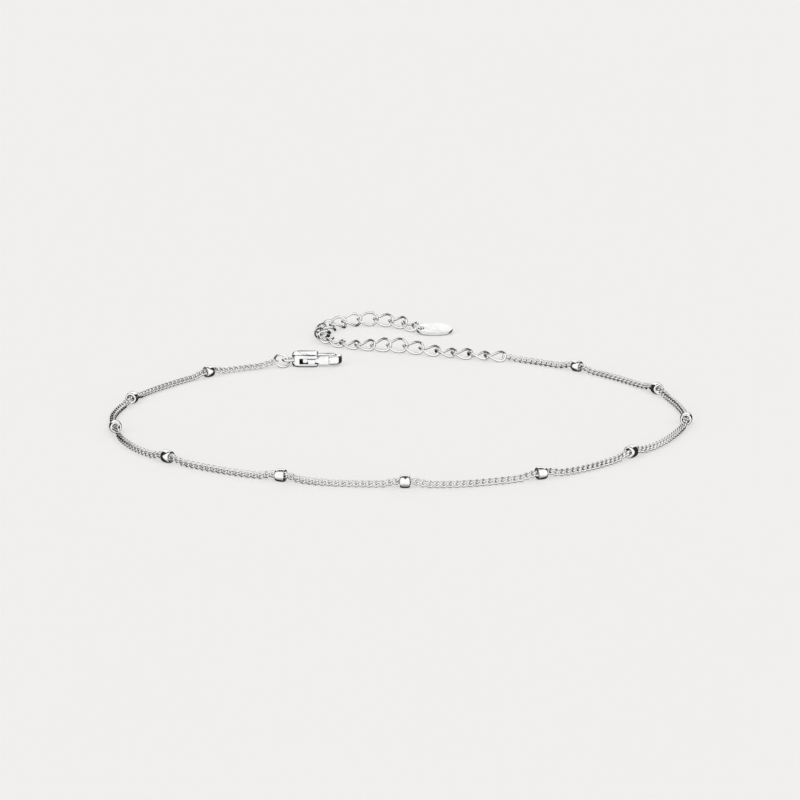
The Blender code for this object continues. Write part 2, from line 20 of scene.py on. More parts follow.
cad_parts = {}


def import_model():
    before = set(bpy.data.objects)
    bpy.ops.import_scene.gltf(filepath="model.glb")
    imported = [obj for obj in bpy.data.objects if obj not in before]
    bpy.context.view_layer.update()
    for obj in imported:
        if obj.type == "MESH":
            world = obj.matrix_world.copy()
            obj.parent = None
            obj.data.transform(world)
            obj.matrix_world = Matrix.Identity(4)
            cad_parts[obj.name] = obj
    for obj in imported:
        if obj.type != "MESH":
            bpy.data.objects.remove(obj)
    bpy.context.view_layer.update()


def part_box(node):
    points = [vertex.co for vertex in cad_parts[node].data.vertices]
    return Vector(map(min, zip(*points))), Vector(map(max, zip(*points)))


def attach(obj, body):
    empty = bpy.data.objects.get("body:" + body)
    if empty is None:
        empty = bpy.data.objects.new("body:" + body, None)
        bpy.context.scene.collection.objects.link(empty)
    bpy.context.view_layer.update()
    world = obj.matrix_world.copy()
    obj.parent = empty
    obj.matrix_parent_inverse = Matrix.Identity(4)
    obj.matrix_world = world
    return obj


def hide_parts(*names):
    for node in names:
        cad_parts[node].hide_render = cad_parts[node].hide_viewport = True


LOG = logging.getLogger("anklet")
SHARP_EDGE = math.radians(32)
UP = Vector((0, 0, 1))

# The thin chain's route as it lies, from the jump ring round to the extender: x, y
CHAIN_ROUTE = (
    (-0.0253, 0.0190),
    (-0.0286, 0.0172),
    (-0.0317, 0.0148),
    (-0.0353, 0.0108),
    (-0.0385, 0.0064),
    (-0.0410, 0.0022),
    (-0.0426, -0.0021),
    (-0.0440, -0.0073),
    (-0.0445, -0.0130),
    (-0.0434, -0.0191),
    (-0.0416, -0.0253),
    (-0.0384, -0.0310),
    (-0.0340, -0.0354),
    (-0.0288, -0.0393),
    (-0.0232, -0.0425),
    (-0.0170, -0.0449),
    (-0.0113, -0.0470),
    (-0.0053, -0.0478),
    (0.0007, -0.0480),
    (0.0075, -0.0481),
    (0.0142, -0.0464),
    (0.0202, -0.0438),
    (0.0256, -0.0410),
    (0.0302, -0.0371),
    (0.0340, -0.0328),
    (0.0383, -0.0280),
    (0.0418, -0.0217),
    (0.0442, -0.0146),
    (0.0442, -0.0083),
    (0.0432, -0.0022),
    (0.0415, 0.0038),
    (0.0382, 0.0086),
    (0.0343, 0.0136),
    (0.0296, 0.0185),
    (0.0252, 0.0214),
    (0.0214, 0.0238),
)
MIDDLE_BEAD = "bead_06"
MIDDLE_BEAD_ROUTE_POINT = 18


class Body(Enum):
    """The bodies that the pieces move with."""

    ANKLET = "anklet"
    LEVER = "lever"


class Slot(Enum):
    """The record's material slots."""

    CHAIN = "chain_silver"
    BEAD = "bead_silver"
    RING = "ring_silver"
    CLASP = "clasp_silver"
    RIVET = "rivet_silver"
    LINK = "link_silver"
    TAG = "tag_silver"


class LoopForm(Enum):
    """How a wire loop's centre line runs."""

    ROUND = "round"
    STADIUM = "stadium"
    OVAL = "oval"


class Signal:
    """One shader value, on which Python's operators add Math nodes."""

    def __init__(self, bench: ShaderBench, socket: bpy.types.NodeSocket) -> None:
        """Wrap an output socket of a bench's tree."""
        self.bench = bench
        self.socket = socket

    def _math(self, operation: str, first: Signal | float, second: Signal | float) -> Signal:
        """Add one Math node.

        Args:
            operation: The Math node's operation.
            first: Its first value.
            second: Its second value.

        Returns:
            The node's result.
        """
        made = self.bench.node("ShaderNodeMath", {"operation": operation}, {0: first, 1: second})
        return Signal(self.bench, made.outputs[0])

    def __add__(self, other: Signal | float) -> Signal:
        """This value plus another."""
        return self._math("ADD", self, other)

    def __radd__(self, other: float) -> Signal:
        """A number plus this value."""
        return self._math("ADD", other, self)

    def __sub__(self, other: Signal | float) -> Signal:
        """This value less another."""
        return self._math("SUBTRACT", self, other)

    def __rsub__(self, other: float) -> Signal:
        """A number less this value."""
        return self._math("SUBTRACT", other, self)

    def __mul__(self, other: Signal | float) -> Signal:
        """This value times another."""
        return self._math("MULTIPLY", self, other)

    def __rmul__(self, other: float) -> Signal:
        """A number times this value."""
        return self._math("MULTIPLY", other, self)

    def at_least(self, other: Signal | float) -> Signal:
        """The greater of this value and another."""
        return self._math("MAXIMUM", self, other)

    def size(self) -> Signal:
        """This value without its sign."""
        return self._math("ABSOLUTE", self, 0.0)

    def rise(self, low: float, high: float) -> Signal:
        """Map this value to a smooth step.

        Args:
            low: Where the step begins.
            high: Where it ends.

        Returns:
            A value that goes from 0 to 1.
        """
        made = self.bench.node(
            "ShaderNodeMapRange",
            {"interpolation_type": "SMOOTHSTEP"},
            {"Value": self, "From Min": low, "From Max": high},
        )
        return Signal(self.bench, made.outputs["Result"])


class ShaderBench:
    """A node tree, and the one way in which nodes are added to it."""

    def __init__(self, tree: bpy.types.NodeTree) -> None:
        """Clear a tree and work on it."""
        self.tree = tree
        self.tree.nodes.clear()

    def node(self, kind: str, settings: dict | None = None, inputs: dict | None = None) -> bpy.types.Node:
        """Add one node.

        Args:
            kind: The node's type.
            settings: Its own settings, which are set first.
            inputs: Values or links of its sockets, by name or index.

        Returns:
            The new node.
        """
        made = self.tree.nodes.new(kind)
        for name, value in (settings or {}).items():
            setattr(made, name, value)
        for key, value in (inputs or {}).items():
            if isinstance(value, Signal):
                value = value.socket
            if isinstance(value, bpy.types.NodeSocket):
                self.tree.links.new(value, made.inputs[key])
            else:
                made.inputs[key].default_value = value
        return made

    def value(
        self, kind: str, output: str, settings: dict | None = None, inputs: dict | None = None,
    ) -> Signal:
        """Add one node and wrap one of its outputs.

        Args:
            kind: The node's type.
            output: The output's name.
            settings: The node's own settings.
            inputs: Values or links of its sockets.

        Returns:
            The wrapped output.
        """
        return Signal(self, self.node(kind, settings, inputs).outputs[output])


@dataclass(frozen=True)
class Silver:
    """A polished silver surface, with the unevenness and handling marks that show in its reflections."""

    name: str
    bright: tuple[float, float, float, float] = (0.97, 0.97, 0.965, 1.0)
    dull: tuple[float, float, float, float] = (0.90, 0.90, 0.90, 1.0)
    roughness: float = 0.05
    roughness_spread: float = 0.06
    cloud_size: float = 0.0016
    ripple_size: float = 0.0007
    ripple_depth: float = 0.0000020
    hairline_size: float = 0.00005
    hairline_length: float = 0.0012
    hairline_depth: float = 0.0000003
    hairline_turn: tuple[float, float, float] = (0.0, 0.3, 0.5)
    hairline_share: tuple[float, float] = (0.58, 0.72)
    hairline_gloss: float = 0.5
    cloud_share: tuple[float, float] = (0.35, 0.70)

    def material(self) -> bpy.types.Material:
        """Make the procedural material.

        Returns:
            The material, with its pattern on Object coordinates.
        """
        made = bpy.data.materials.new(self.name)
        made.use_nodes = True
        bench = ShaderBench(made.node_tree)
        place = bench.value("ShaderNodeTexCoord", "Object")
        clouds = bench.value(
            "ShaderNodeTexNoise", "Fac", {},
            {"Vector": place, "Scale": 1 / self.cloud_size, "Detail": 3.0, "Roughness": 0.55})
        ripples = bench.value(
            "ShaderNodeTexNoise", "Fac", {},
            {"Vector": place, "Scale": 1 / self.ripple_size, "Detail": 2.0, "Roughness": 0.5})
        drawn_out = bench.value(
            "ShaderNodeMapping", "Vector", {},
            {
                "Vector": place,
                "Rotation": self.hairline_turn,
                "Scale": (1 / self.hairline_length, 1 / self.hairline_size, 1 / self.hairline_size),
            })
        hairlines = bench.value(
            "ShaderNodeTexNoise", "Fac", {},
            {"Vector": drawn_out, "Scale": 1.0, "Detail": 2.0, "Roughness": 0.6}).rise(*self.hairline_share)
        patches = clouds.rise(*self.cloud_share)
        tint = bench.node(
            "ShaderNodeMix", {"data_type": "RGBA"},
            {"Factor": patches, "A": self.bright, "B": self.dull})
        marks = hairlines * (self.roughness_spread * self.hairline_gloss)
        gloss = patches * self.roughness_spread + marks + self.roughness
        wavy = bench.node(
            "ShaderNodeBump", {}, {"Height": ripples, "Distance": self.ripple_depth, "Strength": 1.0})
        marked = bench.node(
            "ShaderNodeBump", {},
            {
                "Height": hairlines,
                "Distance": self.hairline_depth,
                "Strength": 1.0,
                "Normal": wavy.outputs["Normal"],
            })
        surface = bench.node(
            "ShaderNodeBsdfPrincipled", {},
            {
                "Base Color": tint.outputs["Result"],
                "Metallic": 1.0,
                "Roughness": gloss,
                "Normal": marked.outputs["Normal"],
            })
        bench.node("ShaderNodeOutputMaterial", {}, {"Surface": surface.outputs["BSDF"]})
        return made


class CadNode:
    """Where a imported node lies, read from its mesh."""

    def __init__(self, name: str) -> None:
        """Read a node's points.

        Args:
            name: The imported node's name.
        """
        self.name = name
        mesh = bpy.data.objects[name].data
        flat = np.zeros(len(mesh.vertices) * 3, np.float32)
        mesh.vertices.foreach_get("co", flat)
        self.points = np.unique(np.round(flat.reshape(-1, 3).astype(float), 7), axis=0)

    def middle(self) -> Vector:
        """The mean of the node's points."""
        return Vector(self.points.mean(axis=0))

    def box_middle(self) -> Vector:
        """The middle of the node's box."""
        low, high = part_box(self.name)
        return (low + high) / 2

    def axes(self) -> tuple[Vector, Vector, Vector]:
        """The node's own directions, from the longest to the shortest."""
        _, _, rows = np.linalg.svd(self.points - self.points.mean(axis=0), full_matrices=False)
        return Vector(rows[0]), Vector(rows[1]), Vector(rows[2])

    def belt_direction(self, along: Vector, share: float) -> Vector:
        """The direction across a wire loop at its waist.

        Args:
            along: The loop's long direction.
            share: How much of the half length counts as the waist.

        Returns:
            The direction of the loop's width there.
        """
        local = self.points - self.points.mean(axis=0)
        reach = local @ np.array(along)
        belt = local[np.abs(reach) < share * np.abs(reach).max()]
        belt = belt - np.outer(belt @ np.array(along), np.array(along))
        _, _, rows = np.linalg.svd(belt, full_matrices=False)
        return Vector(rows[0])


def frame_matrix(centre: Vector, along: Vector, across: Vector) -> Matrix:
    """A placing matrix from a centre and two directions.

    Args:
        centre: Where the piece's own origin goes.
        along: Where its X goes.
        across: Roughly where its Y goes.

    Returns:
        The matrix.
    """
    x = along.normalized()
    z = x.cross(across).normalized()
    y = z.cross(x)
    turned = Matrix((x, y, z)).transposed().to_4x4()
    return Matrix.Translation(centre) @ turned


@dataclass(frozen=True)
class WireLoop:
    """A closed loop of round wire, such as a link or a ring, in its own frame: X long, Y wide."""

    length: float
    width: float
    wire: float
    form: LoopForm
    twist: float = 0.0
    segments: int = 32
    sides: int = 12

    def half_length(self) -> float:
        """Half the length of the centre line."""
        return (self.length - self.wire) / 2

    def half_width(self) -> float:
        """Half the width of the centre line."""
        return (self.width - self.wire) / 2

    def shape(self) -> bmesh.types.BMesh:
        """Spin the wire's section round, then draw the loop out and twist it.

        Returns:
            The loop as a closed bmesh.
        """
        shape = bmesh.new()
        section = bmesh.ops.create_circle(shape, segments=self.sides, radius=self.wire / 2)["verts"]
        bmesh.ops.rotate(shape, verts=section, cent=(0, 0, 0), matrix=Matrix.Rotation(math.pi / 2, 3, "X"))
        bmesh.ops.translate(shape, verts=section, vec=(self.half_width(), 0, 0))
        half_step = Matrix.Rotation(math.pi / self.segments, 3, "Z")
        bmesh.ops.rotate(shape, verts=section, cent=(0, 0, 0), matrix=half_step)
        bmesh.ops.spin(
            shape, geom=shape.verts[:] + shape.edges[:], cent=(0, 0, 0), axis=(0, 0, 1),
            angle=math.tau, steps=self.segments, use_merge=True)
        drawn = self.half_length() - self.half_width()
        for vert in shape.verts:
            if self.form is LoopForm.STADIUM:
                vert.co.x += math.copysign(drawn, vert.co.x)
            if self.form is LoopForm.OVAL:
                vert.co.x += drawn * math.cos(math.atan2(vert.co.y, vert.co.x))
            turn = Matrix.Rotation(self.twist * vert.co.x / self.half_length(), 3, "X")
            vert.co = turn @ vert.co
        bmesh.ops.recalc_face_normals(shape, faces=shape.faces)
        return shape


class Workshop:
    """Turns finished shapes into pieces on their bodies, and keeps count of them."""

    def __init__(self) -> None:
        """Start with no pieces and no finishes."""
        self.finishes: dict[str, bpy.types.Material] = {}
        self.count = 0
        self.triangles = 0

    def finish(self, silver: Silver) -> bpy.types.Material:
        """Fetch the material of a finish, which is made once.

        Args:
            silver: The finish.

        Returns:
            Its material.
        """
        if silver.name not in self.finishes:
            self.finishes[silver.name] = silver.material()
        return self.finishes[silver.name]

    def piece(
        self, name: str, shape: bmesh.types.BMesh, silver: Silver, nodes: Iterable[str],
        body: Body = Body.ANKLET, sharp: float | None = SHARP_EDGE, inside: Silver | None = None,
    ) -> bpy.types.Object:
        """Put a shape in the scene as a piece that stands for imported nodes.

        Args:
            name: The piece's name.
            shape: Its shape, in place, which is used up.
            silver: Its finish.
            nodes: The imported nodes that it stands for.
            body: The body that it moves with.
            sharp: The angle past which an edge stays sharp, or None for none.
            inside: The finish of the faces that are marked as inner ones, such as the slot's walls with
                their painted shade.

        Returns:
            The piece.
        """
        mesh = bpy.data.meshes.new(name)
        shape.to_mesh(mesh)
        shape.free()
        mesh.shade_smooth()
        if sharp is not None:
            mesh.set_sharp_from_angle(angle=sharp)
        mesh.materials.append(self.finish(silver))
        if inside is not None:
            mesh.materials.append(self.finish(inside))
        thing = bpy.data.objects.new(name, mesh)
        bpy.context.scene.collection.objects.link(thing)
        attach(thing, body.value)
        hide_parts(*nodes)
        self.count += 1
        mesh.calc_loop_triangles()
        self.triangles += len(mesh.loop_triangles)
        LOG.info("%s: %d triangles", name, len(mesh.loop_triangles))
        return thing


def placed(shape: bmesh.types.BMesh, matrix: Matrix) -> bmesh.types.BMesh:
    """Move a shape to its place and return it."""
    bmesh.ops.transform(shape, matrix=matrix, verts=shape.verts)
    return shape


def joined(parts: Iterable[tuple[bpy.types.Mesh, Matrix]]) -> bmesh.types.BMesh:
    """Copy meshes to their places in one shape.

    Args:
        parts: Each mesh with its place.

    Returns:
        The joined shape.
    """
    whole = bmesh.new()
    for mesh, matrix in parts:
        before = len(whole.verts)
        whole.from_mesh(mesh)
        whole.verts.ensure_lookup_table()
        bmesh.ops.transform(whole, matrix=matrix, verts=whole.verts[before:])
    return whole


def solid_mesh(base: bmesh.types.BMesh, changes: Iterable[tuple[str, bmesh.types.BMesh]],
               ease: float, segments: int) -> bmesh.types.BMesh:
    """Cut and join shapes, then ease the edges that this leaves.

    Args:
        base: The shape to work on, which is used up.
        changes: Boolean operations with the shapes that they use, which are used up.
        ease: How far the edges are rounded.
        segments: How many faces the rounding has.

    Returns:
        The finished shape.
    """
    def stand(shape: bmesh.types.BMesh, name: str) -> bpy.types.Object:
        """Put a shape in the scene for a while.

        Args:
            shape: The shape, which is used up.
            name: The helper's name.

        Returns:
            The helper.
        """
        mesh = bpy.data.meshes.new(name)
        shape.to_mesh(mesh)
        shape.free()
        thing = bpy.data.objects.new(name, mesh)
        bpy.context.scene.collection.objects.link(thing)
        return thing

    body = stand(base, "work_body")
    helpers = []
    for operation, shape in changes:
        helper = stand(shape, "work_helper")
        helpers.append(helper)
        change = body.modifiers.new("change", "BOOLEAN")
        change.operation = operation
        change.object = helper
        change.solver = "EXACT"
    if ease > 0:
        rounding = body.modifiers.new("rounding", "BEVEL")
        rounding.width = ease
        rounding.segments = segments
        rounding.limit_method = "ANGLE"
        rounding.angle_limit = SHARP_EDGE
        rounding.use_clamp_overlap = True
    shown = body.evaluated_get(bpy.context.evaluated_depsgraph_get())
    result = bmesh.new()
    result.from_mesh(shown.to_mesh())
    shown.to_mesh_clear()
    for thing in helpers + [body]:
        bpy.data.objects.remove(thing)
    return result


def smooth_line(points: list[Vector], steps: int) -> list[Vector]:
    """A dense smooth line through chosen points.

    Args:
        points: The points that it passes through.
        steps: How many steps it takes between two of them.

    Returns:
        The line's points.
    """
    ends = [points[0] * 2 - points[1]] + points + [points[-1] * 2 - points[-2]]
    line = []
    for before, start, stop, after in zip(ends, ends[1:], ends[2:], ends[3:]):
        for step in range(steps):
            t = step / steps
            line.append(0.5 * (
                start * 2 + (stop - before) * t
                + (before * 2 - start * 5 + stop * 4 - after) * t ** 2
                + (start * 3 - before - stop * 3 + after) * t ** 3
            ))
    line.append(points[-1].copy())
    return line


def ease(share: float) -> float:
    """A smooth step from 0 to 1."""
    share = min(max(share, 0.0), 1.0)
    return share * share * (3 - 2 * share)


class Path:
    """A line through space that is read by the distance along it."""

    def __init__(self, points: list[Vector]) -> None:
        """Measure a dense line.

        Args:
            points: The line's points.
        """
        self.points = points
        steps = [(stop - start).length for start, stop in zip(points, points[1:])]
        self.lengths = np.concatenate(([0.0], np.cumsum(steps)))

    def total(self) -> float:
        """The line's length."""
        return float(self.lengths[-1])

    def at(self, distance: float) -> Vector:
        """Find a point on the line.

        Args:
            distance: How far along the line it is.

        Returns:
            The point.
        """
        index = int(np.clip(np.searchsorted(self.lengths, distance), 1, len(self.points) - 1))
        start = self.lengths[index - 1]
        share = (distance - start) / (self.lengths[index] - start)
        return self.points[index - 1].lerp(self.points[index], share)

    def nearest(self, point: Vector) -> float:
        """The distance along the line at which it is nearest to a point."""
        gaps = [(own.xy - point.xy).length for own in self.points]
        return float(self.lengths[int(np.argmin(gaps))])


@dataclass
class Rings:
    """The jump ring at the clasp and the small ring at the tag, each bent round and butted shut."""

    jump_diameter: float = 0.00290
    jump_wire: float = 0.00040
    tag_diameter: float = 0.00230
    tag_wire: float = 0.00036
    butt_gap: float = 0.00003
    segments: int = 56
    sides: int = 14
    silver: Silver = Silver("ring_wire_silver", roughness=0.05, ripple_depth=0.0000012)

    def plane(self, node: CadNode, toward: Vector) -> tuple[Vector, Vector, Vector]:
        """Where a ring lies.

        Args:
            node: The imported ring.
            toward: A point on the side that counts as its front.

        Returns:
            Its middle, its level direction on that side, and its normal.
        """
        middle = node.middle()
        normal = node.axes()[2]
        level = normal.cross(UP).normalized()
        if level.dot(toward - middle) < 0:
            level = -level
        return middle, level, normal

    def shape(self, diameter: float, wire: float) -> bmesh.types.BMesh:
        """One ring with its butted ends, in its own plane.

        Args:
            diameter: The outer diameter.
            wire: The wire's diameter.

        Returns:
            The shape, with its butt joint at X.
        """
        radius = (diameter - wire) / 2
        gap = self.butt_gap / radius
        shape = bmesh.new()
        section = bmesh.ops.create_circle(
            shape, cap_ends=True, segments=self.sides, radius=wire / 2)["verts"]
        bmesh.ops.rotate(shape, verts=section, cent=(0, 0, 0), matrix=Matrix.Rotation(math.pi / 2, 3, "X"))
        bmesh.ops.translate(shape, verts=section, vec=(radius, 0, 0))
        bmesh.ops.rotate(shape, verts=section, cent=(0, 0, 0), matrix=Matrix.Rotation(gap / 2, 3, "Z"))
        end = shape.faces[:]
        bmesh.ops.spin(
            shape, geom=end, cent=(0, 0, 0), axis=(0, 0, 1), angle=math.tau - gap, steps=self.segments)
        bmesh.ops.recalc_face_normals(shape, faces=shape.faces)
        return shape

    def dress(self, workshop: Workshop) -> None:
        """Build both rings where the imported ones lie.

        Args:
            workshop: Where the pieces go.
        """
        rows = (
            ("jump_ring", self.jump_diameter, self.jump_wire, "clasp_body"),
            ("tag_ring", self.tag_diameter, self.tag_wire, "tag"),
        )
        for name, diameter, wire, neighbour in rows:
            node = CadNode(name)
            middle, level, normal = self.plane(node, CadNode(neighbour).middle())
            place = frame_matrix(middle, normal.cross(level), level)
            shape = placed(self.shape(diameter, wire), place)
            workshop.piece(f"{name}_wire", shape, self.silver, [name])


@dataclass
class Extender:
    """The open, twisted links that the clasp can hook into."""

    count: int = 21
    length: float = 0.00400
    width: float = 0.00290
    wire: float = 0.00045
    twist: float = math.radians(45)
    waist: float = 0.35
    segments: int = 36
    sides: int = 12
    silver: Silver = Silver("extender_wire_silver", roughness=0.05, ripple_depth=0.0000015)

    def loop(self) -> WireLoop:
        """One link in its own frame."""
        return WireLoop(
            self.length, self.width, self.wire, LoopForm.OVAL, self.twist, self.segments, self.sides)

    def place(self, node: CadNode) -> Matrix:
        """Where a packed link lies."""
        along = node.axes()[0]
        return frame_matrix(node.middle(), along, node.belt_direction(along, self.waist))

    def end_toward(self, number: int, point: Vector) -> tuple[Vector, Vector]:
        """The centre of a link's end wire nearest to a point.

        Args:
            number: The link's number, from the thin chain.
            point: The point.

        Returns:
            The wire's centre, and the direction out of the link there.
        """
        node = CadNode(f"extender_link_{number:02d}")
        out = node.axes()[0]
        if out.dot(point - node.middle()) < 0:
            out = -out
        return node.middle() + out * self.loop().half_length(), out

    def dress(self, workshop: Workshop) -> None:
        """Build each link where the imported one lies.

        Args:
            workshop: Where the pieces go.
        """
        for number in range(1, self.count + 1):
            name = f"extender_link_{number:02d}"
            shape = placed(self.loop().shape(), self.place(CadNode(name)))
            workshop.piece(f"open_link_{number:02d}", shape, self.silver, [name], sharp=None)


@dataclass
class ThinChain:
    """The fine curb chain: real links that interlock, and run through the beads."""

    pitch: float = 0.00096
    width: float = 0.00115
    wire: float = 0.00033
    slack: float = 0.00004
    twist: float = math.radians(-57)
    roll: float = math.radians(103)
    back_roll: float = math.radians(32)
    roll_drift: float = math.radians(5)
    roll_jitter: float = math.radians(1.5)
    drift_length: float = 0.021
    segments: int = 12
    sides: int = 6
    surface_gap: float = 0.00004
    rise_length: float = 0.00340
    bead_count: int = 11
    bead_diameter: float = 0.00190
    bead_straight: float = 0.00121
    route_steps: int = 24
    seed: int = 11
    silver: Silver = Silver("curb_link_silver", bright=(0.945, 0.945, 0.94, 1.0),
                            dull=(0.83, 0.83, 0.83, 1.0), roughness=0.05, roughness_spread=0.05,
                            ripple_depth=0.0000010)

    def route_shift(self) -> Vector:
        """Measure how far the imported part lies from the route's own frame.

        Returns:
            The shift, level with the surface.
        """
        x, y = CHAIN_ROUTE[MIDDLE_BEAD_ROUTE_POINT]
        middle = CadNode(MIDDLE_BEAD).box_middle()
        return Vector((middle.x - x, middle.y - y, 0))

    def loop(self) -> WireLoop:
        """One link in its own frame."""
        length = self.pitch + 2 * self.wire + self.slack
        return WireLoop(
            length, self.width, self.wire, LoopForm.STADIUM, self.twist, self.segments, self.sides)

    def path(self, rings: Rings, extender: Extender, low: float) -> Path:
        """The line through the links' joints, from inside the jump ring to inside the extender.

        Args:
            rings: The rings, for the one at the chain's start.
            extender: The extender, for the link at the chain's end.
            low: The line's height where the links rest on the surface.

        Returns:
            The line, with its heights.
        """
        shift = self.route_shift()
        points = [Vector((x, y, 0)) + shift for x, y in CHAIN_ROUTE]
        middle, level, _ = rings.plane(CadNode("jump_ring"), points[0])
        radius = (rings.jump_diameter - rings.jump_wire) / 2
        reach = (rings.jump_wire + self.slack) / 2
        start = middle + level * (radius - reach)
        wire_end, outward = extender.end_toward(1, points[-1])
        reach = (extender.wire + self.slack) / 2
        stop = wire_end - outward * reach
        flat = [Vector((start.x, start.y, 0))] + points + [Vector((stop.x, stop.y, 0))]
        line = Path(smooth_line(flat, self.route_steps))
        beads = [CadNode(f"bead_{number:02d}").box_middle() for number in range(1, self.bead_count + 1)]
        lifts = [(line.nearest(bead), self.bead_diameter / 2, self.bead_straight) for bead in beads]
        lifts += [(0.0, start.z, 0.0), (line.total(), stop.z, 0.0)]

        def height(distance: float) -> float:
            """Work out the height of the chain's middle.

            Args:
                distance: How far along its route.

            Returns:
                The height over the surface.
            """
            tallest = low
            for spot, top, straight in lifts:
                away = (abs(distance - spot) - straight) / (self.rise_length - straight)
                tallest = max(tallest, top + (low - top) * ease(away))
            return tallest + self.surface_gap

        raised = []
        for point, distance in zip(line.points, line.lengths):
            raised.append(Vector((point.x, point.y, height(float(distance)))))
        return Path(raised)

    def places(self, path: Path) -> list[Matrix]:
        """Where each link lies along the line.

        Args:
            path: The line through the links' joints.

        Returns:
            Each link's place.
        """
        count = round(path.total() / self.pitch)
        step = path.total() / count
        chance = random.Random(self.seed)
        places = []
        for index in range(count):
            start = path.at(index * step)
            stop = path.at((index + 1) * step)
            along = (stop - start).normalized()
            side = UP.cross(along).normalized()
            above = along.cross(side)
            drift = math.sin(math.tau * index * step / self.drift_length)
            roll = self.roll + self.roll_drift * drift + self.roll_jitter * chance.uniform(-1, 1)
            roll += self.back_roll * ease(-along.x)
            across = side * math.cos(roll) + above * math.sin(roll)
            places.append(frame_matrix((start + stop) / 2, along, across))
        return places

    def dress(self, workshop: Workshop, rings: Rings, extender: Extender) -> Path:
        """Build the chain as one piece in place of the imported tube.

        Args:
            workshop: Where the piece goes.
            rings: The rings.
            extender: The extender.

        Returns:
            The line that the chain follows.
        """
        shape = self.loop().shape()
        rolled = Matrix.Rotation(self.roll, 3, "X")
        path = self.path(rings, extender, max((rolled @ vert.co).z for vert in shape.verts))
        link = bpy.data.meshes.new("curb_link")
        shape.to_mesh(link)
        shape.free()
        places = self.places(path)
        whole = joined((link, place) for place in places)
        bpy.data.meshes.remove(link)
        workshop.piece("curb_links", whole, self.silver, ["curb_chain"], sharp=None)
        LOG.info("curb_links: %d links", len(places))
        return path


@dataclass
class Beads:
    """The turned and drilled beads on the thin chain."""

    count: int = 11
    diameter: float = 0.00190
    length: float = 0.00142
    bore: float = 0.00124
    rim: float = 0.00012
    squareness: float = 2.7
    mouth_edge: float = 0.00003
    mouth_steps: int = 3
    mouth_angle: float = math.radians(80)
    arc_steps: int = 18
    sides: int = 48
    silver: Silver = Silver("turned_bead_silver", roughness=0.035, roughness_spread=0.04)

    def shape(self) -> bmesh.types.BMesh:
        """Spin a bead's half section round its bore.

        Returns:
            One bead with its bore along X.
        """
        mouth = self.bore / 2 + self.rim
        half = self.length / 2
        power = 2 / self.squareness
        profile = [(half, self.bore / 2), (half, mouth)]
        for step in range(1, self.arc_steps):
            turn = math.pi * step / self.arc_steps
            x = math.copysign(half * abs(math.cos(turn)) ** power, math.cos(turn))
            profile.append((x, mouth + (self.diameter / 2 - mouth) * math.sin(turn) ** power))
        profile += [(-half, mouth), (-half, self.bore / 2)]
        shape = bmesh.new()
        verts = [shape.verts.new((x, radius, 0)) for x, radius in profile]
        for start, stop in zip(verts, verts[1:] + verts[:1]):
            shape.edges.new((start, stop))
        bmesh.ops.spin(
            shape, geom=shape.verts[:] + shape.edges[:], cent=(0, 0, 0), axis=(1, 0, 0),
            angle=math.tau, steps=self.sides, use_merge=True)
        bmesh.ops.recalc_face_normals(shape, faces=shape.faces)
        crisp = [edge for edge in shape.edges if edge.calc_face_angle(0.0) > self.mouth_angle]
        bmesh.ops.bevel(
            shape, geom=crisp, offset=self.mouth_edge, segments=self.mouth_steps, profile=0.5,
            affect="EDGES", material=-1)
        return shape

    def dress(self, workshop: Workshop, path: Path) -> None:
        """Build each bead on the chain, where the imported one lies.

        Args:
            workshop: Where the pieces go.
            path: The line that the chain follows.
        """
        for number in range(1, self.count + 1):
            name = f"bead_{number:02d}"
            middle = CadNode(name).box_middle()
            spot = path.nearest(middle)
            along = path.at(spot + self.length / 2) - path.at(spot - self.length / 2)
            shape = placed(self.shape(), frame_matrix(middle, along, UP))
            workshop.piece(f"turned_{name}", shape, self.silver, [name])


@dataclass
class Tag:
    """The flat oval end tag, with its hole, left bare."""

    length: float = 0.00650
    width: float = 0.00430
    thickness: float = 0.00045
    edge: float = 0.00010
    edge_steps: int = 4
    hole: float = 0.00115
    hole_margin: float = 0.00028
    sides: int = 72
    hole_sides: int = 36
    silver: Silver = Silver("tag_silver_face", roughness=0.22, roughness_spread=0.04,
                            ripple_size=0.0016, ripple_depth=0.0000008)

    def shape(self) -> bmesh.types.BMesh:
        """The plate in its own frame.

        Returns:
            The plate, with its hole towards -X.
        """
        plate = bmesh.new()
        made = bmesh.ops.create_cone(
            plate, cap_ends=True, segments=self.sides, radius1=0.5, radius2=0.5, depth=1.0)
        bmesh.ops.scale(plate, vec=(self.length, self.width, self.thickness), verts=made["verts"])
        drill = bmesh.new()
        made = bmesh.ops.create_cone(
            drill, cap_ends=True, segments=self.hole_sides, radius1=self.hole / 2, radius2=self.hole / 2,
            depth=self.thickness * 3)
        inset = self.hole_margin + self.hole / 2
        bmesh.ops.translate(drill, verts=made["verts"], vec=(inset - self.length / 2, 0, 0))
        return solid_mesh(plate, [("DIFFERENCE", drill)], self.edge, self.edge_steps)

    def dress(self, workshop: Workshop) -> None:
        """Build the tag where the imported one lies.

        Args:
            workshop: Where the piece goes.
        """
        node = CadNode("tag")
        long, wide, normal = node.axes()
        if long.x < 0:
            long = -long
        spans = [node.points @ np.array(axis) for axis in (long, wide, normal)]
        middle = Vector()
        for axis, span in zip((long, wide, normal), spans):
            middle += axis * float((span.min() + span.max()) / 2)
        shape = placed(self.shape(), frame_matrix(middle, long, wide))
        workshop.piece("oval_tag", shape, self.silver, ["tag"])


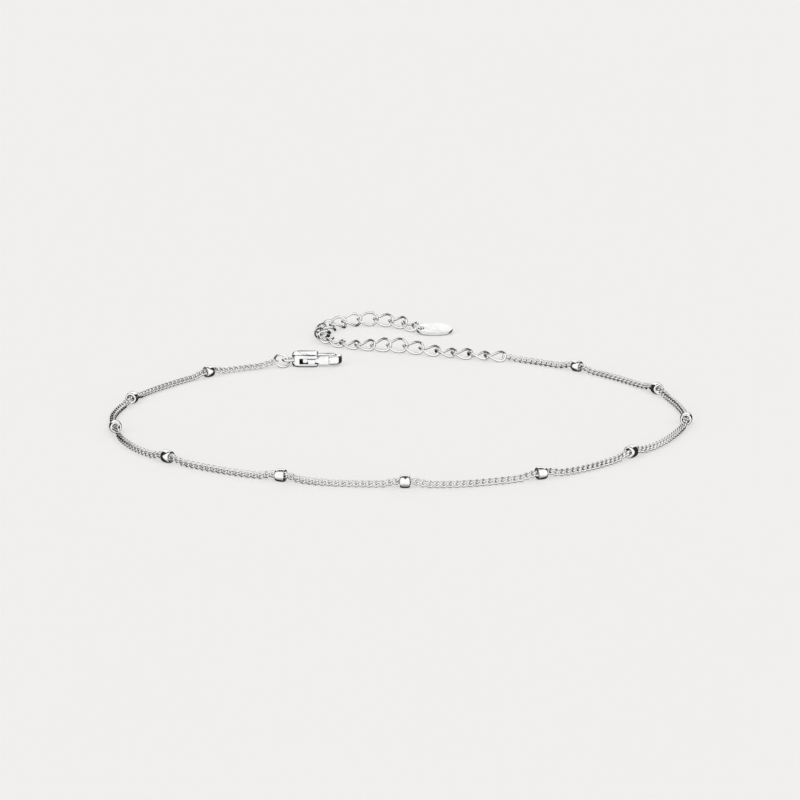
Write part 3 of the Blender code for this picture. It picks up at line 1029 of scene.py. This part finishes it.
@dataclass
class Clasp:
    """The lobster clasp, in its own frame: X from the eye to the hook's bend, +Y away from the lever."""

    length: float = 0.01010
    width: float = 0.00380
    thickness: float = 0.00220
    cheek: float = 0.00062
    housing_start: float = 0.00170
    housing_end: float = 0.00615
    eye_corner: float = 0.00130
    hook_corner: float = 0.00055
    dome: float = 0.00052
    eye_wire: float = 0.00044
    eye_radius: float = 0.00085
    eye_offset: float = -0.00050
    hook_width: float = 0.00095
    hook_thickness: float = 0.00145
    hook_edge: float = 0.00034
    hook_tuck: float = 0.00008
    near_set_back: float = 0.00038
    nose_length: float = 0.00040
    slot_start: float = 0.00300
    slot_back: float = 0.00140
    pivot_x: float = 0.00395
    rivet: float = 0.00050
    rivet_room: float = 0.00010
    lever_room: float = 0.00010
    lever_tail: float = 0.00060
    tail_corner: float = 0.00028
    nose_start: float = 0.00630
    nose_slant: float = 0.00045
    lever_edge: float = 0.00012
    nub_start: float = 0.00450
    nub_end: float = 0.00560
    nub_reach: float = 0.00042
    nub_slope: float = 0.00021
    ease: float = 0.00004
    ease_steps: int = 3
    corner_steps: int = 8
    dome_steps: int = 6
    hook_edge_steps: int = 5
    bend_steps: int = 20
    lever_edge_steps: int = 4
    bar_edge_share: float = 0.6
    round_sides: int = 32
    eye_segments: int = 40
    eye_sides: int = 14
    silver: Silver = Silver("cast_clasp_silver", roughness=0.05, roughness_spread=0.05,
                            ripple_size=0.0011, ripple_depth=0.0000040)
    pin_silver: Silver = Silver("rivet_pin_silver", roughness=0.16, roughness_spread=0.08)
    # Painted shade: the slot's walls get a near black finish that stands in for the shade inside the
    # lever's slot.
    slot_shade_silver: Silver = Silver("slot_painted_shade_silver", bright=(0.16, 0.16, 0.16, 1.0),
                                 dull=(0.08, 0.08, 0.08, 1.0), roughness=0.38, roughness_spread=0.15)

    def near_line(self) -> float:
        """Where the lever and the hook's near arm lie."""
        return -(self.width / 2 - self.near_set_back - self.hook_width / 2)

    def far_line(self) -> float:
        """Where the hook's far arm lies."""
        return self.width / 2 - self.hook_tuck - self.hook_width / 2

    def bend(self) -> tuple[float, float, float]:
        """The middle of the hook's bend in plan, and its radius."""
        radius = (self.far_line() - self.near_line()) / 2
        return self.length - self.hook_width / 2 - radius, (self.far_line() + self.near_line()) / 2, radius

    def place(self) -> Matrix:
        """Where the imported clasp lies."""
        low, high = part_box("clasp_body")
        return Matrix.Translation((low.x, (low.y + high.y) / 2, low.z))

    def housing(self) -> bmesh.types.BMesh:
        """Make the two cheeks as one block with domed edges, before its slot is cut.

        Returns:
            The block.
        """
        shape = bmesh.new()
        bmesh.ops.create_grid(shape, x_segments=1, y_segments=1, size=0.5)
        span = self.housing_end - self.housing_start
        bmesh.ops.scale(shape, vec=(span, self.width, 1), verts=shape.verts)
        middle = (self.housing_start + self.housing_end) / 2
        bmesh.ops.translate(shape, verts=shape.verts, vec=(middle, 0, 0))
        for corner, radius in ((-1, self.eye_corner), (1, self.hook_corner)):
            verts = [vert for vert in shape.verts
                     if (vert.co.x - middle) * corner > span / 2 - self.ease
                     and abs(vert.co.y) > self.width / 2 - self.ease]
            bmesh.ops.bevel(
                shape, geom=verts, offset=radius, segments=self.corner_steps, profile=0.5,
                affect="VERTICES", material=-1)
        grown = bmesh.ops.extrude_face_region(shape, geom=shape.faces[:])
        top = [item for item in grown["geom"] if isinstance(item, bmesh.types.BMVert)]
        bmesh.ops.translate(shape, verts=top, vec=(0, 0, self.thickness))
        bmesh.ops.recalc_face_normals(shape, faces=shape.faces)
        rims = [edge for edge in shape.edges if abs(edge.verts[0].co.z - edge.verts[1].co.z) < self.ease]
        bmesh.ops.bevel(
            shape, geom=rims, offset=self.dome, segments=self.dome_steps, profile=0.5, affect="EDGES",
            material=-1)
        return shape

    def bar(self, width: float, thickness: float, edge: float) -> bmesh.types.BMesh:
        """Make an upright section with rounded corners, facing X.

        Args:
            width: Its width, along Y.
            thickness: Its height, along Z.
            edge: The corners' radius.

        Returns:
            The section, as one face.
        """
        shape = bmesh.new()
        bmesh.ops.create_grid(shape, x_segments=1, y_segments=1, size=0.5)
        bmesh.ops.scale(shape, vec=(width, thickness, 1), verts=shape.verts)
        bmesh.ops.bevel(
            shape, geom=shape.verts[:], offset=edge, segments=self.hook_edge_steps, profile=0.5,
            affect="VERTICES", material=-1)
        upright = Matrix(((0, 0, 1), (1, 0, 0), (0, 1, 0)))
        bmesh.ops.transform(shape, matrix=upright.to_4x4(), verts=shape.verts)
        return shape

    def hook(self) -> bmesh.types.BMesh:
        """Draw the hook along the far side, round the bend, and back to its nose.

        Returns:
            The hook, closed at both ends.
        """
        bend_x, bend_y, _ = self.bend()
        shape = self.bar(self.hook_width, self.hook_thickness, self.hook_edge)
        start = self.housing_end - self.hook_width
        bmesh.ops.translate(
            shape, verts=shape.verts, vec=(start, self.far_line(), self.thickness / 2))

        def pull(face: bmesh.types.BMFace, vec: tuple[float, float, float]) -> bmesh.types.BMFace:
            """Draw an end face out.

            Args:
                face: The end face.
                vec: How far and which way.

            Returns:
                The new end face.
            """
            grown = bmesh.ops.extrude_face_region(shape, geom=[face])["geom"]
            moved = [item for item in grown if isinstance(item, bmesh.types.BMVert)]
            bmesh.ops.translate(shape, verts=moved, vec=vec)
            return next(item for item in grown if isinstance(item, bmesh.types.BMFace))

        shape.faces.ensure_lookup_table()
        end = pull(shape.faces[0], (bend_x - start, 0, 0))
        spun = bmesh.ops.spin(
            shape, geom=[end], cent=(bend_x, bend_y, 0), axis=(0, 0, 1), angle=-math.pi,
            steps=self.bend_steps)
        end = next(item for item in spun["geom_last"] if isinstance(item, bmesh.types.BMFace))
        pull(end, (-self.nose_length, 0, 0))
        bmesh.ops.delete(
            shape, geom=[face for face in shape.faces if self.is_inner(face)], context="FACES_ONLY")
        bmesh.ops.recalc_face_normals(shape, faces=shape.faces)
        return shape

    def is_inner(self, face: bmesh.types.BMFace) -> bool:
        """Tell whether a face is left over inside the hook.

        Args:
            face: A face of the hook.

        Returns:
            True for a many-sided face that isn't one of its two ends.
        """
        if len(face.verts) <= 4:
            return False
        middle = face.calc_center_median()
        start = self.housing_end - self.hook_width
        nose = self.bend()[0] - self.nose_length
        at_start = abs(middle.x - start) < self.ease and middle.y > 0
        at_nose = abs(middle.x - nose) < self.ease and middle.y < 0
        return not (at_start or at_nose)

    def cylinder(self, radius: float, height: float, place: Vector) -> bmesh.types.BMesh:
        """Make an upright round bar.

        Args:
            radius: Its radius.
            height: Its height.
            place: Its middle.

        Returns:
            The bar.
        """
        shape = bmesh.new()
        made = bmesh.ops.create_cone(
            shape, cap_ends=True, segments=self.round_sides, radius1=radius, radius2=radius, depth=height)
        bmesh.ops.translate(shape, verts=made["verts"], vec=place)
        return shape

    def box(self, low: Vector, high: Vector) -> bmesh.types.BMesh:
        """Make a box.

        Args:
            low: Its lowest corner.
            high: Its highest corner.

        Returns:
            The box.
        """
        shape = bmesh.new()
        bmesh.ops.create_cube(shape, size=1.0)
        bmesh.ops.scale(shape, vec=high - low, verts=shape.verts)
        bmesh.ops.translate(shape, vec=(low + high) / 2, verts=shape.verts)
        return shape

    def body_shape(self) -> bmesh.types.BMesh:
        """Join cheeks, hook and eye, with the lever's slot and the rivet's hole.

        Returns:
            The casting, with its slot's walls marked as inner ones.
        """
        middle_z = self.thickness / 2
        slot = self.box(
            Vector((self.slot_start, -self.width, self.cheek)),
            Vector((self.housing_end + self.width, self.width / 2 - self.slot_back,
                    self.thickness - self.cheek)))
        bore = self.cylinder(
            self.rivet / 2 + self.rivet_room, self.thickness * 2,
            Vector((self.pivot_x, self.near_line(), middle_z)))
        eye = WireLoop(
            2 * self.eye_radius + self.eye_wire, 2 * self.eye_radius + self.eye_wire, self.eye_wire,
            LoopForm.ROUND, 0.0, self.eye_segments, self.eye_sides).shape()
        bmesh.ops.translate(
            eye, verts=eye.verts, vec=(self.eye_radius + self.eye_wire / 2, self.eye_offset, middle_z))
        changes = (("DIFFERENCE", slot), ("DIFFERENCE", bore), ("UNION", self.hook()), ("UNION", eye))
        shape = solid_mesh(self.housing(), changes, self.ease, self.ease_steps)
        # Mark the slot's walls for the second finish, which is near black: painted shade inside the slot.
        for face in shape.faces:
            if self.in_slot(face.calc_center_median()):
                face.material_index = 1
        return shape

    def in_slot(self, point: Vector) -> bool:
        """Tell whether a point lies on the slot's walls, which are painted dark as shade.

        Args:
            point: The point, in the clasp's own frame.

        Returns:
            True where it does.
        """
        slack = self.ease / 4
        return (
            self.slot_start - slack < point.x < self.housing_end - self.ease
            and self.ease - self.width / 2 < point.y < self.width / 2 - self.slot_back + slack
            and self.cheek - slack < point.z < self.thickness - self.cheek + slack)

    def prism(self, outline: Iterable[tuple[float, float]], half: float, edge: float) -> bmesh.types.BMesh:
        """A plan outline with thickness and eased edges.

        Args:
            outline: The plan's corners.
            half: Half the thickness.
            edge: How far its edges are rounded.

        Returns:
            The shape.
        """
        shape = bmesh.new()
        face = shape.faces.new([shape.verts.new((x, y, -half)) for x, y in outline])
        grown = bmesh.ops.extrude_face_region(shape, geom=[face])["geom"]
        top = [item for item in grown if isinstance(item, bmesh.types.BMVert)]
        bmesh.ops.translate(shape, verts=top, vec=(0, 0, 2 * half))
        bmesh.ops.recalc_face_normals(shape, faces=shape.faces)
        crisp = [item for item in shape.edges if item.calc_face_angle(0.0) > SHARP_EDGE]
        bmesh.ops.bevel(
            shape, geom=crisp, offset=edge, segments=self.lever_edge_steps, profile=0.5,
            affect="EDGES", material=-1, clamp_overlap=True)
        return shape

    def lever_shape(self) -> bmesh.types.BMesh:
        """Make the lever's bar with its nub, and its nose.

        Returns:
            The lever.
        """
        half = self.hook_width / 2
        bar_half = (self.thickness - 2 * self.cheek) / 2 - self.lever_room
        nose_end = self.bend()[0] - self.nose_length - self.lever_room - self.pivot_x
        nose_start = self.nose_start - self.pivot_x
        nub_top = -(half + self.near_set_back + self.nub_reach)
        bar_end = (nose_start + self.nose_slant + nose_end) / 2
        nub_start = self.nub_start - self.pivot_x
        nub_end = self.nub_end - self.pivot_x
        bar = self.prism(
            (
                (bar_end, half), (self.tail_corner - self.lever_tail, half),
                (-self.lever_tail, half - self.tail_corner), (-self.lever_tail, self.tail_corner - half),
                (self.tail_corner - self.lever_tail, -half), (nub_start - self.nub_slope, -half),
                (nub_start, nub_top), (nub_end, nub_top), (nub_end + self.nub_slope, -half),
                (bar_end, -half),
            ), bar_half, self.lever_edge * self.bar_edge_share)
        nose = self.prism(
            (
                (nose_end, -half), (nose_end, half), (nose_start + self.nose_slant, half),
                (nose_start, -half),
            ), self.hook_thickness / 2, self.lever_edge)
        bore = self.cylinder(self.rivet / 2 + self.rivet_room, self.thickness * 2, Vector((0, 0, 0)))
        shape = solid_mesh(bar, (("UNION", nose), ("DIFFERENCE", bore)), 0.0, 1)
        bmesh.ops.translate(
            shape, verts=shape.verts, vec=(self.pivot_x, self.near_line(), self.thickness / 2))
        return shape

    def rivet_shape(self) -> bmesh.types.BMesh:
        """Make the rivet, with its ends eased.

        Returns:
            The rivet.
        """
        shape = self.cylinder(
            self.rivet / 2, self.thickness, Vector((self.pivot_x, self.near_line(), self.thickness / 2)))
        crisp = [edge for edge in shape.edges if edge.calc_face_angle(0.0) > SHARP_EDGE]
        bmesh.ops.bevel(
            shape, geom=crisp, offset=self.ease, segments=self.ease_steps, profile=0.5, affect="EDGES",
            material=-1)
        return shape

    def dress(self, workshop: Workshop) -> None:
        """Build the clasp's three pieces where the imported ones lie.

        Args:
            workshop: Where the pieces go.
        """
        place = self.place()
        # The slot's walls take the near black finish, which is painted shade.
        workshop.piece("cast_clasp", placed(self.body_shape(), place), self.silver,
                       ["clasp_body"], inside=self.slot_shade_silver)
        workshop.piece("sprung_lever", placed(self.lever_shape(), place), self.silver,
                       ["clasp_lever"], Body.LEVER)
        workshop.piece("lever_rivet", placed(self.rivet_shape(), place), self.pin_silver,
                       ["clasp_rivet"])


@dataclass
class Studio:
    """The pale floor, the soft light all round, and the camera at the photo's angle."""

    elevation: float = math.radians(15)
    distance: float = 0.400
    view_angle: float = 2 * math.atan(400 / 2500)
    clip_start: float = 0.01
    floor_size: float = 6.0
    floor_colour: tuple[float, float, float, float] = (0.80, 0.785, 0.778, 1.0)
    floor_glow: float = 0.438
    light: float = 1.30
    dim: float = 0.42
    dark: float = 0.035
    underside: float = -0.62
    underside_softness: float = 0.35
    back_edge: float = -0.08
    window_low: float = 0.16
    window_high: float = 0.86
    window_half_width: float = 0.55
    overhead_low: float = 0.80
    overhead_near: float = -0.55
    overhead_far: float = 0.50
    overhead_narrow: float = 0.03
    overhead_spread: float = 0.12
    softness: float = 0.05

    def floor(self) -> None:
        """A wide pale floor."""
        shape = bmesh.new()
        bmesh.ops.create_grid(shape, x_segments=1, y_segments=1, size=self.floor_size / 2)
        mesh = bpy.data.meshes.new("floor")
        shape.to_mesh(mesh)
        shape.free()
        paint = bpy.data.materials.new("pale_floor")
        paint.use_nodes = True
        bench = ShaderBench(paint.node_tree)
        surface = bench.node(
            "ShaderNodeBsdfPrincipled", {},
            {
                "Base Color": self.floor_colour,
                "Roughness": 1.0,
                "Specular IOR Level": 0.0,
                "Emission Color": self.floor_colour,
                "Emission Strength": self.floor_glow,
            })
        bench.node("ShaderNodeOutputMaterial", {}, {"Surface": surface.outputs["BSDF"]})
        mesh.materials.append(paint)
        thing = bpy.data.objects.new("floor", mesh)
        thing.visible_glossy = False
        bpy.context.scene.collection.objects.link(thing)

    def sky(self) -> None:
        """Light the scene: white in front, dark behind but for one window, with a dark card overhead."""
        world = bpy.data.worlds.new("studio")
        bpy.context.scene.world = world
        world.use_nodes = True
        bench = ShaderBench(world.node_tree)
        direction = bench.value("ShaderNodeTexCoord", "Generated")
        apart = bench.node("ShaderNodeSeparateXYZ", {}, {"Vector": direction})
        x, y, z = (Signal(bench, apart.outputs[axis]) for axis in "XYZ")
        soft = self.softness
        window = (
            z.rise(self.window_low - soft, self.window_low + soft)
            * (1 - z.rise(self.window_high - soft, self.window_high + soft))
            * (1 - x.size().rise(self.window_half_width - soft, self.window_half_width + soft)))
        back = y.rise(self.back_edge - soft, self.back_edge + soft) * (1 - window)
        half_width = (y - self.overhead_near) * self.overhead_spread + self.overhead_narrow
        above = (
            (half_width - x.size()).rise(-soft, soft)
            * y.rise(self.overhead_near - soft, self.overhead_near + soft)
            * (1 - y.rise(self.overhead_far - soft, self.overhead_far + soft))
            * z.rise(self.overhead_low - soft, self.overhead_low + soft))
        below = 1 - z.rise(
            self.underside - self.underside_softness, self.underside + self.underside_softness)
        card = back.at_least(above)
        open_light = below * (self.dim - self.light) + self.light
        strength = open_light * (1 - card) + card * self.dark
        light = bench.node("ShaderNodeBackground", {}, {"Strength": strength})
        bench.node("ShaderNodeOutputWorld", {}, {"Surface": light.outputs["Background"]})

    def camera(self) -> None:
        """The camera, aimed so that the middle bead falls where the photo has it."""
        x, y = CHAIN_ROUTE[MIDDLE_BEAD_ROUTE_POINT]
        bead = CadNode(MIDDLE_BEAD).box_middle()
        target = Vector((bead.x - x, bead.y - y, 0))
        back = Vector((0, -math.cos(self.elevation), math.sin(self.elevation)))
        data = bpy.data.cameras.new("camera")
        data.sensor_fit = "HORIZONTAL"
        data.angle = self.view_angle
        data.clip_start = self.clip_start
        thing = bpy.data.objects.new("camera", data)
        thing.location = target + back * self.distance
        thing.rotation_euler = back.to_track_quat("Z", "Y").to_euler()
        bpy.context.scene.collection.objects.link(thing)
        bpy.context.scene.camera = thing

    def build(self) -> None:
        """Set up the floor, the light, the camera and the tone of the picture."""
        self.floor()
        self.sky()
        self.camera()
        bpy.context.scene.view_settings.view_transform = "Standard"


def main() -> None:
    """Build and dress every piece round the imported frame."""
    logging.basicConfig(level=logging.INFO, format="%(name)s %(message)s")
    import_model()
    Studio().build()
    workshop = Workshop()
    rings = Rings()
    extender = Extender()
    rings.dress(workshop)
    extender.dress(workshop)
    path = ThinChain().dress(workshop, rings, extender)
    Beads().dress(workshop, path)
    Tag().dress(workshop)
    Clasp().dress(workshop)
    LOG.info("%d pieces, %d triangles", workshop.count, workshop.triangles)


if __name__ == "__main__":
    main()
